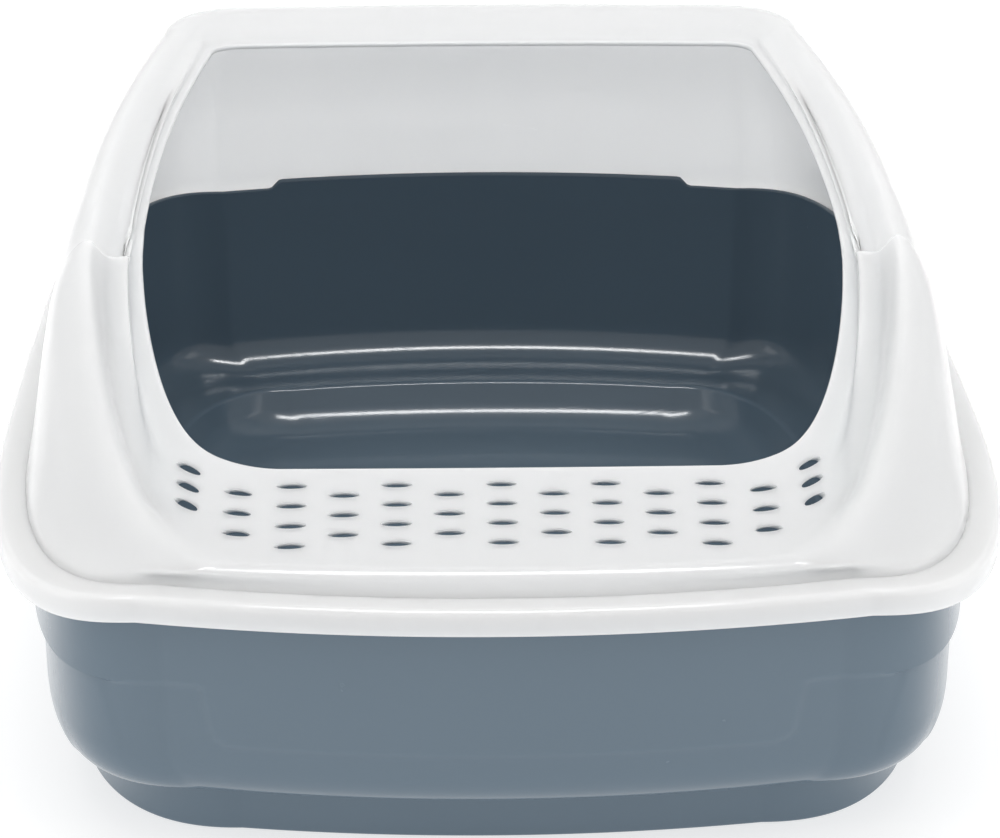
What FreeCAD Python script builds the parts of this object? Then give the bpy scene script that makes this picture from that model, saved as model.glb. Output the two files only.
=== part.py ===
import FreeCAD, Part
import math
import os

# Cat litter box: an open tray with a white hood that drops over its rim.
# The hood is an open frame. It starts low at the front, where a sieved sill lets a cat
# climb in, and sweeps up along both sides to a high back.
# Origin: middle of the footprint, on the floor. X is across, +Y is towards the back, +Z is up.

# Overall size (mm)
WIDTH = 350.0
LENGTH = 480.0
FLANGE_TOP = 99.0
SKIRT_HEIGHT = 9.0
SILL_CREASE_HEIGHT = 8.1
LIP_RISE = 11.5
SIDE_CLIMB = 39.0
BACK_SLOPE = 0.103
WALL = 2.2
HOOD_WALL = 2.0

# Hood flange: a rolled outer edge, a flat band, then a fold line where the wall starts
ROLL = 1.3
BAND_WIDTH = 10.5
SKIRT_EDGE_DROP = 2.0
END_BOW = 14.0

# Tray rim: a flat ledge that carries the hood, with an upstand just inside the hood's wall.
# The upstand is low at the front, a little higher round the rest, and highest in a tab at the back.
RIM_GAP = 0.5
LEDGE_GAP = 0.4
RIM_THICKNESS = 2.2
UPSTAND_INSET = BAND_WIDTH + HOOD_WALL + 1.3
UPSTAND_WALL = 2.0
UPSTAND_FRONT_TOP = FLANGE_TOP - 0.2
UPSTAND_TOP = FLANGE_TOP + 1.4
TAB_TOP = FLANGE_TOP + 5.2
TAB_WIDTH = WIDTH - 178.0
UPSTAND_FRONT_DEPTH = 90.0

# Tray body: a steep wall, a wide turn under it, and a foot rib set well in
WALL_TOP_INSET = UPSTAND_INSET - 0.4
TURN_TOP = 40.0
TURN_DROP = 22.5
TURN_INSET = 16.5
TURN_SIDE_INSET = 15.0
FOOT_INSET = 38.5
FOOT_SIDE_INSET = 26.0
FOOT_EDGE = 2.5
FOOT_RIB = 2.4
WELL_INSET = 49.0
WELL_SIDE_GAIN = 5.0
WELL_RADIUS = 19.0
SHELF_HEIGHT = TURN_TOP - TURN_DROP + WALL + 0.3

# The upper belt of the tray stands proud, and drops to a low panel at the front and back
BELT_DEPTH = 1.2
BELT_BOTTOM = FLANGE_TOP - 37.0
PANEL_BOTTOM = TURN_TOP + 0.5
PANEL_WIDTH = WIDTH - 162.0
PANEL_SLANT = 5.0
PANEL_CORNER = 8.0

# Sieve slots in the sill, in columns of four and three in turn
SLOT_LENGTH = 9.0
SLOT_WIDTH = 3.0
COLUMN_PITCH = WIDTH * 0.0492
ROW_PITCH = 11.0
FIRST_ROW = 31.8
LONG_COLUMNS = 5
CORNER_COLUMN = WIDTH / 2.0 - 88.5
END_COLUMN = WIDTH / 2.0 - 71.0
END_COLUMN_LIFT = 32.8
END_PITCH = 9.2
CORNER_TILT = 25.0
END_TILT = 48.0

HALF_WIDTH = WIDTH / 2.0
HALF_LENGTH = LENGTH / 2.0
CORNER_DEPTH = LENGTH * 0.427
STEPS = (8, 24, 16, 16, 8)
EVEN_STEPS = 36
CROSS_STEPS = 4


def smooth(t):
    """An S-curve from 0 to 1."""
    t = min(1.0, max(0.0, t))
    return t * t * (3.0 - 2.0 * t)


def half_ring(front, flat, bow, wide, wide_at, waist, waist_at, tail, tail_at, back,
              front_power=2.0, back_power=2.0):
    """Right half of a closed outline, from the middle of the front to the middle of the back.

    A bowed front edge, a rounded front corner that ends at the widest point, a side that
    narrows towards the back, a rounded back corner and a bowed back edge. Lengths along Y
    are measured back from the front end of the box.
    """
    points = []
    for i in range(STEPS[0]):
        x = flat * i / STEPS[0]
        points.append((x, front + bow * (x / flat) ** 2))
    for i in range(STEPS[1]):
        angle = math.pi / 2.0 * i / STEPS[1]
        x = flat + (wide - flat) * math.sin(angle) ** (2.0 / front_power)
        y = wide_at - (wide_at - front - bow) * math.cos(angle) ** (2.0 / front_power)
        points.append((x, y))
    for i in range(STEPS[2]):
        t = i / STEPS[2]
        points.append((wide - (wide - waist) * t ** 2.3, wide_at + (waist_at - wide_at) * t))
    for i in range(STEPS[3]):
        angle = math.pi / 2.0 * i / STEPS[3]
        x = tail + (waist - tail) * math.cos(angle) ** (2.0 / back_power)
        y = waist_at + (tail_at - waist_at) * math.sin(angle) ** (2.0 / back_power)
        points.append((x, y))
    for i in range(STEPS[4] + 1):
        x = tail * (1.0 - i / STEPS[4])
        points.append((x, back - (back - tail_at) * (x / tail) ** 2))
    return points


def rim_ring(inset):
    """The outline of the box, drawn in by the same amount all round."""
    flat = HALF_WIDTH - 57.0 - inset * 0.5
    side = HALF_WIDTH - inset
    return half_ring(inset, flat, END_BOW, side, CORNER_DEPTH, side - 0.6, LENGTH - CORNER_DEPTH,
                     flat, LENGTH - END_BOW - inset, LENGTH - inset, 2.9, 2.9)


def even(points):
    """The same outline with its points spread evenly along it."""
    lengths = [0.0]
    for (x0, y0), (x1, y1) in zip(points, points[1:]):
        lengths.append(lengths[-1] + math.hypot(x1 - x0, y1 - y0))
    result = []
    k = 0
    for i in range(EVEN_STEPS + 1):
        goal = lengths[-1] * i / EVEN_STEPS
        while k < len(points) - 2 and lengths[k + 1] < goal:
            k += 1
        t = (goal - lengths[k]) / (lengths[k + 1] - lengths[k])
        (x0, y0), (x1, y1) = points[k], points[k + 1]
        result.append((x0 + (x1 - x0) * t, y0 + (y1 - y0) * t))
    return result


def raised(outline, height):
    """Put a half outline at its height. height is a number, or a function of the distance back."""
    points = even(outline)
    if callable(height):
        return [FreeCAD.Vector(x, y - HALF_LENGTH, height(y)) for x, y in points]
    return [FreeCAD.Vector(x, y - HALF_LENGTH, height) for x, y in points]


# Heights of the hood's long curves, from the distance back from the front end

def lip_height(y):
    sill_lip = FLANGE_TOP + SILL_CREASE_HEIGHT + LIP_RISE
    return sill_lip + SIDE_CLIMB * smooth((y - 85.0) / 120.0) + BACK_SLOPE * max(0.0, y - 190.0)


def lip_base_height(y):
    return lip_height(y - 5.0) - 1.7 + 2.4 * smooth((y - 90.0) / 80.0)


def trough_height(y):
    base = FLANGE_TOP + SILL_CREASE_HEIGHT + LIP_RISE * 0.46
    climb = SIDE_CLIMB + 7.0
    return base + climb * smooth((y - 95.0) / 92.0) + (BACK_SLOPE + 0.004) * max(0.0, y - 190.0)


def crease_height(y):
    base = FLANGE_TOP + SILL_CREASE_HEIGHT
    climb = SIDE_CLIMB + 14.0
    return base + climb * smooth((y - 70.0) / 125.0) + (BACK_SLOPE + 0.002) * max(0.0, y - 190.0)


def ridge_height(y):
    base = FLANGE_TOP + SILL_CREASE_HEIGHT - 0.9
    climb = SIDE_CLIMB + 19.0
    return base + climb * smooth((y - 25.0) / 155.0) + (BACK_SLOPE - 0.018) * max(0.0, y - 180.0)


def shoulder_height(y):
    base = FLANGE_TOP + SILL_CREASE_HEIGHT - 3.1
    climb = SIDE_CLIMB + 10.0
    return base + climb * smooth((y - 22.0) / 155.0) + (BACK_SLOPE + 0.012) * max(0.0, y - 175.0)


def wall_foot_height(y):
    return FLANGE_TOP + 2.2 + 4.8 * smooth((y - 20.0) / 90.0)


def hood_rails():
    """The long curves of the hood from the fold line, over the ridge, to the lip of the opening.

    Each is placed from the fold line: b is its distance back at the front, w its distance
    out at the side and n its distance back at the back.
    """
    b = BAND_WIDTH
    w = HALF_WIDTH - b
    n = LENGTH - b
    shoulder = half_ring(b + 3.5, w - 69.5, 8.0, w - 10.5, 175.0, w - 33.5, n - 57.5, w - 59.5,
                         n - 31.5, n - 27.5, 2.2)
    ridge = half_ring(b + 6.0, w - 72.5, 8.0, w - 20.0, 205.0, w - 38.5, n - 61.5, w - 62.5,
                      n - 35.5, n - 33.5, 1.9)
    crease = half_ring(b + 9.7, w - 80.5, 7.0, w - 28.0, 165.0, w - 45.5, n - 67.5, w - 65.5,
                       n - 43.5, n - 39.5, 1.5)
    trough = half_ring(b + 34.5, w - 86.5, 3.0, w - 35.0, 178.0, w - 49.5, n - 73.5, w - 66.5,
                       n - 57.5, n - 53.5, 1.8)
    lip_base = half_ring(b + 55.5, w - 89.5, 1.0, w - 34.5, 200.0, w - 51.0, n - 78.5, w - 66.5,
                         n - 66.5, n - 64.0)
    lip = half_ring(b + 63.5, w - 92.5, 0.5, w - 38.0, 205.0, w - 53.5, n - 79.5, w - 66.5,
                    n - 70.5, n - 68.5)
    return [
        raised(rim_ring(BAND_WIDTH), FLANGE_TOP),
        raised(rim_ring(BAND_WIDTH + 1.4), wall_foot_height),
        raised(shoulder, shoulder_height),
        raised(ridge, ridge_height),
        raised(crease, crease_height),
        raised(trough, trough_height),
        raised(lip_base, lip_base_height),
        raised(lip, lip_height),
    ]


def filled_in(rails):
    """Add smooth in-between curves to a list of long curves, with a centripetal spline."""
    def knot(a, b):
        return max(1e-6, math.sqrt(a.distanceToPoint(b)))

    def between(p0, p1, p2, p3, t):
        k1, k2, k3 = knot(p0, p1), knot(p1, p2), knot(p2, p3)
        m1 = ((p1 - p0) * (1.0 / k1) - (p2 - p0) * (1.0 / (k1 + k2)) + (p2 - p1) * (1.0 / k2)) * k2
        m2 = ((p2 - p1) * (1.0 / k2) - (p3 - p1) * (1.0 / (k2 + k3)) + (p3 - p2) * (1.0 / k3)) * k2
        t2, t3 = t * t, t * t * t
        return (p1 * (2 * t3 - 3 * t2 + 1) + m1 * (t3 - 2 * t2 + t)
                + p2 * (3 * t2 - 2 * t3) + m2 * (t3 - t2))

    last = len(rails) - 1
    result = []
    for i in range(last):
        before, here = rails[max(0, i - 1)], rails[i]
        there, after = rails[i + 1], rails[min(last, i + 2)]
        if i == 0:
            before = [a * 2.0 - b for a, b in zip(here, there)]
        if i == last - 1:
            after = [b * 2.0 - a for a, b in zip(here, there)]
        for k in range(CROSS_STEPS):
            t = k / CROSS_STEPS
            result.append([between(*p, t) for p in zip(before, here, there, after)])
    result.append(list(rails[last]))
    return result


def offset_rails(rails, depth):
    """The same skin one wall thickness further in."""
    rows = len(rails)
    count = len(rails[0])
    result = []
    for r in range(rows):
        row = []
        for i in range(count):
            across = rails[min(rows - 1, r + 1)][i] - rails[max(0, r - 1)][i]
            ahead = rails[r][min(count - 1, i + 1)]
            behind = rails[r][max(0, i - 1)]
            if i == 0:
                behind = FreeCAD.Vector(-ahead.x, ahead.y, ahead.z)
            if i == count - 1:
                ahead = FreeCAD.Vector(-behind.x, behind.y, behind.z)
            normal = across.cross(ahead - behind)
            normal.normalize()
            point = rails[r][i] + normal * depth
            if i in (0, count - 1):
                point.x = 0.0
            row.append(point)
        result.append(row)
    return result


def spline_edge(points):
    """A smooth half curve that meets its mirror image square to the middle plane."""
    curve = Part.BSplineCurve()
    across = FreeCAD.Vector(1, 0, 0)
    curve.interpolate(Points=points, InitialTangent=across, FinalTangent=across * -1.0)
    return curve.toShape()


def closed_solid(loop):
    """Sweep a closed loop of half curves into faces, mirror them and join it all into a solid."""
    edges = [spline_edge(rail) for rail in loop]
    faces = [Part.makeRuledSurface(a, b) for a, b in zip(edges, edges[1:] + edges[:1])]
    middle = FreeCAD.Vector(0, 0, 0)
    faces += [face.mirror(middle, FreeCAD.Vector(1, 0, 0)) for face in faces]
    skin = Part.Compound(faces)
    skin.sewShape(0.001)
    solid = Part.Solid(skin.Shells[0])
    if solid.Volume < 0:
        solid.reverse()
    return solid


def make_hood():
    outer = filled_in(hood_rails())
    inner = offset_rails(outer, HOOD_WALL)
    under = FLANGE_TOP - HOOD_WALL
    # The inner skin starts on the underside of the flange, straight below the fold line.
    inner[0] = raised(rim_ring(BAND_WIDTH + 0.4), under)
    inner[1] = [a * 0.5 + b * 0.5 for a, b in zip(inner[0], inner[2])]

    skirt = [
        raised(rim_ring(HOOD_WALL), under),
        raised(rim_ring(HOOD_WALL), FLANGE_TOP - SKIRT_HEIGHT),
        raised(rim_ring(0.0), FLANGE_TOP - SKIRT_HEIGHT),
        raised(rim_ring(0.0), FLANGE_TOP - SKIRT_EDGE_DROP),
        raised(rim_ring(ROLL * 0.4), FLANGE_TOP - SKIRT_EDGE_DROP * 0.35),
        raised(rim_ring(ROLL * 1.6), FLANGE_TOP),
    ]
    return closed_solid(skirt + outer + inner[::-1])


def make_slot(x, y, tilt):
    """A long slot with round ends, cut straight down through the sill."""
    straight = SLOT_LENGTH - SLOT_WIDTH
    depth = 40.0
    body = Part.makeBox(straight, SLOT_WIDTH, depth)
    body.translate(FreeCAD.Vector(-straight / 2.0, -SLOT_WIDTH / 2.0, 0))
    ends = []
    for side in (-1, 1):
        end = Part.makeCylinder(SLOT_WIDTH / 2.0, depth)
        end.translate(FreeCAD.Vector(side * straight / 2.0, 0, 0))
        ends.append(end)
    slot = body.fuse(ends).removeSplitter()
    slot.rotate(FreeCAD.Vector(0, 0, 0), FreeCAD.Vector(0, 0, 1), tilt)
    slot.translate(FreeCAD.Vector(x, y - HALF_LENGTH, FLANGE_TOP - 5.0))
    return slot


def sieve_slots():
    slots = []
    last = LONG_COLUMNS - 1
    for column in range(2 * LONG_COLUMNS - 1):
        x = (column - last) * COLUMN_PITCH
        long_column = column % 2 == 0
        rows = 4 if long_column else 3
        start = FIRST_ROW if long_column else FIRST_ROW + ROW_PITCH / 2.0
        for row in range(rows):
            slots.append(make_slot(x, start + row * ROW_PITCH, 0.0))
    for side in (-1, 1):
        for row in range(3):
            y = FIRST_ROW + ROW_PITCH * (row + 0.8)
            slots.append(make_slot(side * CORNER_COLUMN, y, side * CORNER_TILT))
            y = FIRST_ROW + END_COLUMN_LIFT + END_PITCH * row
            slots.append(make_slot(side * END_COLUMN, y, side * END_TILT))
    return slots


def basin_ring(inset, side_inset, roundness=0.0):
    """An outline of the tray. roundness goes from 0, square corners like the rim's, to 1."""
    flat = HALF_WIDTH - 57.0 - inset * 0.5 - 10.9 * roundness
    bow = END_BOW * (1.0 - 0.45 * roundness)
    depth = CORNER_DEPTH * (1.0 - 0.22 * roundness)
    power = 2.9 - 0.6 * roundness
    side = HALF_WIDTH - side_inset
    return half_ring(inset, flat, bow, side, depth, side - 0.6, LENGTH - depth,
                     flat, LENGTH - bow - inset, LENGTH - inset, power, power)


def stacked_solid(levels):
    """A solid built up from level outlines. levels is a list of (outline, height), lowest first."""
    rings = []
    for outline, height in levels:
        half = spline_edge(raised(outline, height))
        rings.append((half, half.mirror(FreeCAD.Vector(0, 0, 0), FreeCAD.Vector(1, 0, 0))))
    faces = [Part.Face(Part.Wire(rings[0])), Part.Face(Part.Wire(rings[-1]))]
    for lower, upper in zip(rings, rings[1:]):
        for a, b in zip(lower, upper):
            faces.append(Part.makeRuledSurface(a, b))
    skin = Part.Compound(faces)
    skin.sewShape(0.001)
    return Part.Solid(skin.Shells[0])


def wall_ring(height, depth=0.0):
    """The plain tray wall's outline at a height above the turn, drawn in by a depth."""
    t = (height - TURN_TOP) / (FLANGE_TOP - TURN_TOP)
    inset = TURN_INSET + (WALL_TOP_INSET - TURN_INSET) * t
    side = TURN_SIDE_INSET + (WALL_TOP_INSET - TURN_SIDE_INSET) * t
    return basin_ring(inset + depth, side + depth)


def turn_levels(drop, depth):
    """Levels of the wide turn, lowest first, for a turn that drops so far, drawn in by a depth."""
    levels = []
    for down in (0.995, 0.97, 0.92, 0.84, 0.73, 0.59, 0.42, 0.22, 0.0):
        front = 1.0 - (1.0 - down ** 2.4) ** (1.0 / 2.4)
        side = 1.0 - (1.0 - down ** 3.0) ** (1.0 / 3.0)
        inset = TURN_INSET + (FOOT_INSET - TURN_INSET) * front + depth
        side_inset = TURN_SIDE_INSET + (FOOT_SIDE_INSET - TURN_SIDE_INSET) * side + depth
        levels.append((basin_ring(inset, side_inset, front), TURN_TOP - drop * down))
    return levels


def foot_ring(depth):
    return basin_ring(FOOT_INSET + depth, FOOT_SIDE_INSET + depth, 1.0)


def well_levels(radius, depth, floor):
    """Levels of the round-bottomed well, up from its floor."""
    levels = []
    for degrees in (-90, -79, -68, -57, -46, -35, -28):
        angle = math.radians(degrees)
        inset = WELL_INSET + 1.0 + WELL_RADIUS - radius * math.cos(angle)
        height = floor + radius * (1.0 + math.sin(angle))
        levels.append((basin_ring(inset, inset - WELL_SIDE_GAIN, 1.0), height))
    inset = WELL_INSET - depth
    levels.append((basin_ring(inset, inset - WELL_SIDE_GAIN, 1.0), SHELF_HEIGHT + depth))
    return levels


def panel_prism(side):
    """The region of the low panel at one end: a plate with slanted ends and round lower corners."""
    half = PANEL_WIDTH / 2.0
    top = BELT_BOTTOM + 1.0
    outline = [
        FreeCAD.Vector(-half - PANEL_SLANT, 0, top),
        FreeCAD.Vector(-half, 0, PANEL_BOTTOM),
        FreeCAD.Vector(half, 0, PANEL_BOTTOM),
        FreeCAD.Vector(half + PANEL_SLANT, 0, top),
    ]
    face = Part.Face(Part.makePolygon(outline + outline[:1]))
    prism = face.extrude(FreeCAD.Vector(0, side * LENGTH, 0))
    low_corners = [
        edge for edge in prism.Edges
        if abs(edge.BoundBox.ZMax - PANEL_BOTTOM) < 0.01 and edge.BoundBox.XLength < 0.01
    ]
    return prism.makeFillet(PANEL_CORNER, low_corners)


def tray_outside():
    rim_top = FLANGE_TOP - HOOD_WALL - LEDGE_GAP
    rim_bottom = rim_top - RIM_THICKNESS
    body = [
        (foot_ring(FOOT_EDGE), 0.0),
        (foot_ring(FOOT_EDGE * 0.3), FOOT_EDGE * 0.3),
        (foot_ring(0.0), FOOT_EDGE),
    ]
    body += turn_levels(TURN_DROP, 0.0)
    body.append((wall_ring(rim_top), rim_top))
    outside = stacked_solid(body)

    low = PANEL_BOTTOM - 0.3
    proud = stacked_solid([(wall_ring(low, -BELT_DEPTH), low),
                           (wall_ring(rim_top, -BELT_DEPTH), rim_top)])
    belt = Part.makeBox(2 * WIDTH, 2 * LENGTH, LENGTH)
    belt.translate(FreeCAD.Vector(-WIDTH, -LENGTH, BELT_BOTTOM))
    relief = [proud.common(region) for region in (belt, panel_prism(-1), panel_prism(1))]

    rim_inset = HOOD_WALL + RIM_GAP
    rim = stacked_solid([(rim_ring(rim_inset), rim_bottom), (rim_ring(rim_inset), rim_top)])

    upstand = stacked_solid([(rim_ring(UPSTAND_INSET), rim_top - 0.5),
                             (rim_ring(UPSTAND_INSET), TAB_TOP)])
    zones = [
        (2 * WIDTH, -LENGTH, UPSTAND_FRONT_TOP),
        (2 * WIDTH, UPSTAND_FRONT_DEPTH - HALF_LENGTH, UPSTAND_TOP),
        (TAB_WIDTH, 0.0, TAB_TOP),
    ]
    stands = []
    for width, front, top in zones:
        zone = Part.makeBox(width, LENGTH - front, top)
        zone.translate(FreeCAD.Vector(-width / 2.0, front, 0))
        stands.append(upstand.common(zone))
    return outside.fuse(relief + [rim] + stands)


def tray_inside():
    """The space that the litter fills, from the floor of the well to above the rim."""
    levels = well_levels(WELL_RADIUS, 0.0, WALL)
    levels += turn_levels(TURN_TOP - SHELF_HEIGHT, WALL)
    lip = rim_ring(UPSTAND_INSET + UPSTAND_WALL)
    levels.append((lip, FLANGE_TOP - 8.0))
    levels.append((lip, TAB_TOP + 5.0))
    return stacked_solid(levels)


def foot_groove():
    """The hollow behind the foot rib, open to the floor."""
    ceiling = SHELF_HEIGHT - WALL
    block = stacked_solid([(foot_ring(FOOT_RIB), -1.0), (foot_ring(FOOT_RIB), ceiling)])
    well = well_levels(WELL_RADIUS + WALL, WALL, 0.0)
    well[0] = (well[0][0], -2.0)
    return block.cut(stacked_solid(well))


def make_tray():
    return tray_outside().cut(tray_inside()).cut(foot_groove())


def report(name, shape):
    box = shape.BoundBox
    print(name, "valid", shape.isValid(), "solids", len(shape.Solids),
          "x %.1f %.1f y %.1f %.1f z %.1f %.1f" % (box.XMin, box.XMax, box.YMin, box.YMax,
                                                   box.ZMin, box.ZMax))


def main():
    os.makedirs("parts", exist_ok=True)
    pieces = {
        "litter_tray": make_tray(),
        "sieve_hood": make_hood().cut(Part.Compound(sieve_slots())),
    }
    for name, shape in pieces.items():
        report(name, shape)
        shape.exportStep("parts/%s.step" % name)


main()
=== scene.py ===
# %% [markdown]
# # A cat litter box with a lift-off hood
#
# The box is two injection mouldings: a blue-grey tray that holds the litter, and a white
# open-topped hood that drops over the tray's rim. This lesson makes both as fine closed
# shells around the frame that the engineering model gives, pierces the sieve in the hood's
# sill with Geometry Nodes, finishes both in glossy plastic, and lights them in a pale studio.

import math

import bmesh
import bpy
import numpy as np
from mathutils import Matrix, Vector
from mathutils.bvhtree import BVHTree


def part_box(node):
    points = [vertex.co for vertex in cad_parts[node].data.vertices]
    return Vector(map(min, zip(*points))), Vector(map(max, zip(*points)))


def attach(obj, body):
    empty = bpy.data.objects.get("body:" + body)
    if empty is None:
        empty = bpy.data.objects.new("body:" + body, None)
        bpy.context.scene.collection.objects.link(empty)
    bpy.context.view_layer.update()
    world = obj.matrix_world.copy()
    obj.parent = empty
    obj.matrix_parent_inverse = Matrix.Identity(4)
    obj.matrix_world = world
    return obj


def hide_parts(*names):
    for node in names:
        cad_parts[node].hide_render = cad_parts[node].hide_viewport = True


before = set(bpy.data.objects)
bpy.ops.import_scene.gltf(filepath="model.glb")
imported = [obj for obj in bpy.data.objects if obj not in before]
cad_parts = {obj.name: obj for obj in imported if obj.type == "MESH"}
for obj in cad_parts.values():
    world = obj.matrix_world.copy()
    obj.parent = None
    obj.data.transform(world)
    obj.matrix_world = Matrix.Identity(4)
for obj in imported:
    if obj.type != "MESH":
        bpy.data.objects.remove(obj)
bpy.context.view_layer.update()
HOOD_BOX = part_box("sieve_hood")

# %% [markdown]
# ## Sizes
#
# Both mouldings follow one outline: a long rounded rectangle with slightly bowed ends.
# All lengths here are millimetres, as on a mould drawing, and become metres when a mesh is
# written. The overall width, length and height of the flange come from the frame.

# %% Sizes
MM = 0.001
(BOX_LOW, BOX_HIGH) = HOOD_BOX
HALF_WIDTH = round((BOX_HIGH[0] - BOX_LOW[0]) / MM) / 2.0
LENGTH = round((BOX_HIGH[1] - BOX_LOW[1]) / MM)
HALF_LENGTH = LENGTH / 2.0
SKIRT_BOTTOM = BOX_LOW[2] / MM
SKIRT_HEIGHT = 9.0
FLANGE_TOP = SKIRT_BOTTOM + SKIRT_HEIGHT
END_BOW = 14.0
BAND_WIDTH = 10.5
HOOD_WALL = 2.0
LEDGE_GAP = 0.4
CORNER_DEPTH = LENGTH * 0.427
print("half width", HALF_WIDTH, "length", LENGTH, "flange top", FLANGE_TOP)


# %% [markdown]
# ## Outlines
#
# A long curve of either moulding is drawn as a half outline from the middle of the front to
# the middle of the back, and mirrored. It has five spans: bowed front edge, front corner,
# side, back corner, bowed back edge. A curve tool could draw them too, but plain functions
# let every curve of the hood share the same recipe, so that neighbouring curves stay in step.

# %% Outline functions
SPAN_STEPS = (60, 160, 110, 110, 60)


def smooth(t):
    """An S-curve from 0 to 1, for numbers or arrays."""
    t = np.clip(t, 0.0, 1.0)
    return t * t * (3.0 - 2.0 * t)


def half_ring(front, flat, bow, wide, wide_at, waist, waist_at, tail, tail_at, back,
              front_power=2.0, back_power=2.0):
    """Right half of an outline as an array of (x, distance back from the front end)."""
    t = [np.arange(n) / n for n in SPAN_STEPS]
    t[4] = np.append(t[4], 1.0)
    quarter = math.pi / 2.0
    x0 = flat * t[0]
    front_edge = np.c_[x0, front + bow * (x0 / flat) ** 2]
    sin1 = np.sin(quarter * t[1]) ** (2.0 / front_power)
    cos1 = np.cos(quarter * t[1]) ** (2.0 / front_power)
    front_corner = np.c_[flat + (wide - flat) * sin1, wide_at - (wide_at - front - bow) * cos1]
    side = np.c_[wide - (wide - waist) * t[2] ** 2.3, wide_at + (waist_at - wide_at) * t[2]]
    sin3 = np.sin(quarter * t[3]) ** (2.0 / back_power)
    cos3 = np.cos(quarter * t[3]) ** (2.0 / back_power)
    back_corner = np.c_[tail + (waist - tail) * cos3, waist_at + (tail_at - waist_at) * sin3]
    x4 = tail * (1.0 - t[4])
    back_edge = np.c_[x4, back - (back - tail_at) * (x4 / tail) ** 2]
    return np.vstack([front_edge, front_corner, side, back_corner, back_edge])


def rim_ring(inset):
    """The outline of the box, drawn in by the same amount all round."""
    flat = HALF_WIDTH - 57.0 - inset * 0.5
    side = HALF_WIDTH - inset
    return half_ring(inset, flat, END_BOW, side, CORNER_DEPTH, side - 0.6, LENGTH - CORNER_DEPTH,
                     flat, LENGTH - END_BOW - inset, LENGTH - inset, 2.9, 2.9)


def spread(points, count, crowd):
    """The outline with its points spread along it, closer together where crowd is larger."""
    step = np.hypot(*np.diff(points, axis=0).T)
    middle = (points[1:] + points[:-1]) / 2.0
    along = np.append(0.0, np.cumsum(step * crowd(middle[:, 0], middle[:, 1])))
    goal = np.linspace(0.0, along[-1], count + 1)
    return np.c_[np.interp(goal, along, points[:, 0]), np.interp(goal, along, points[:, 1])]


def rail(outline, height, count, crowd):
    """A half outline at its height: a number, or a function of x and the distance back."""
    plan = spread(outline, count, crowd)
    z = height(plan[:, 0], plan[:, 1]) if callable(height) else np.full(len(plan), height)
    return np.c_[plan, z]


print("outline points per half", sum(SPAN_STEPS) + 1)

# %% [markdown]
# ## Skins from rails
#
# Each moulding is one closed loop of rails swept round the box. A centripetal spline fills
# in between the main rails, which keeps the surface calm where they crowd together. The
# same loop then gives vertices and faces, mirrored about the middle, with shared seams.

# %% Loft functions


def filled_in(rails, steps):
    """Add smooth in-between rails. steps is the number of strips per gap, one for each gap."""
    last = len(rails) - 1
    result = []
    for i in range(last):
        p1, p2 = rails[i], rails[i + 1]
        p0 = rails[i - 1] if i else 2.0 * p1 - p2
        p3 = rails[i + 2] if i < last - 1 else 2.0 * p2 - p1
        k1, k2, k3 = [
            np.sqrt(np.maximum(1e-6, np.linalg.norm(b - a, axis=1)))[:, None]
            for a, b in ((p0, p1), (p1, p2), (p2, p3))
        ]
        m1 = ((p1 - p0) / k1 - (p2 - p0) / (k1 + k2) + (p2 - p1) / k2) * k2
        m2 = ((p2 - p1) / k2 - (p3 - p1) / (k2 + k3) + (p3 - p2) / k3) * k2
        for k in range(steps[i]):
            t = k / steps[i]
            t2, t3 = t * t, t * t * t
            result.append(p1 * (2 * t3 - 3 * t2 + 1) + m1 * (t3 - 2 * t2 + t)
                          + p2 * (3 * t2 - 2 * t3) + m2 * (t3 - t2))
    result.append(rails[last])
    return result


def skin_normals(rails):
    """Unit normals on the left-hand side of each rail, from its neighbours."""
    grid = np.array(rails)
    across = np.gradient(grid, axis=0)
    mirror = np.array([-1.0, 1.0, 1.0])
    padded = np.concatenate([grid[:, 1:2] * mirror, grid, grid[:, -2:-1] * mirror], axis=1)
    ahead = padded[:, 2:] - padded[:, :-2]
    normal = np.cross(across, ahead)
    normal /= np.maximum(1e-9, np.linalg.norm(normal, axis=2))[:, :, None]
    normal[:, [0, -1], 0] = 0.0
    return normal


def mesh_object(name, vertices, faces):
    """A new object in the scene from vertices in millimetres, measured back from the front."""
    points = np.array(vertices, float)
    points[:, 1] -= HALF_LENGTH
    mesh = bpy.data.meshes.new(name)
    mesh.from_pydata((points * MM).tolist(), [], faces)
    mesh.validate()
    obj = bpy.data.objects.new(name, mesh)
    bpy.context.scene.collection.objects.link(obj)
    return obj


def swept_shell(name, loop, closed, caps=()):
    """Sweep rails into a skin round the box. caps lists the rails that get a flat cover."""
    rows = len(loop)
    half = len(loop[0]) - 1
    around = 2 * half
    mirror = np.array([-1.0, 1.0, 1.0])
    rings = [np.vstack([r, (r[1:-1] * mirror)[::-1]]) for r in loop]
    for ring in rings:
        ring[[0, half], 0] = 0.0
    vertices = list(np.vstack(rings))
    faces = []
    for row in range(rows if closed else rows - 1):
        a, b = row * around, ((row + 1) % rows) * around
        for i in range(around):
            j = (i + 1) % around
            faces.append((a + i, a + j, b + j, b + i))
    for row in caps:
        base = row * around
        before = (base,)
        for i in range(1, half):
            left, right = base + around - i, base + i
            faces.append(before[::-1] + (right, left))
            before = (right, left)
        faces.append(before[::-1] + (base + half,))
    obj = mesh_object(name, vertices, faces)
    tidy_normals(obj)
    return obj


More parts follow.
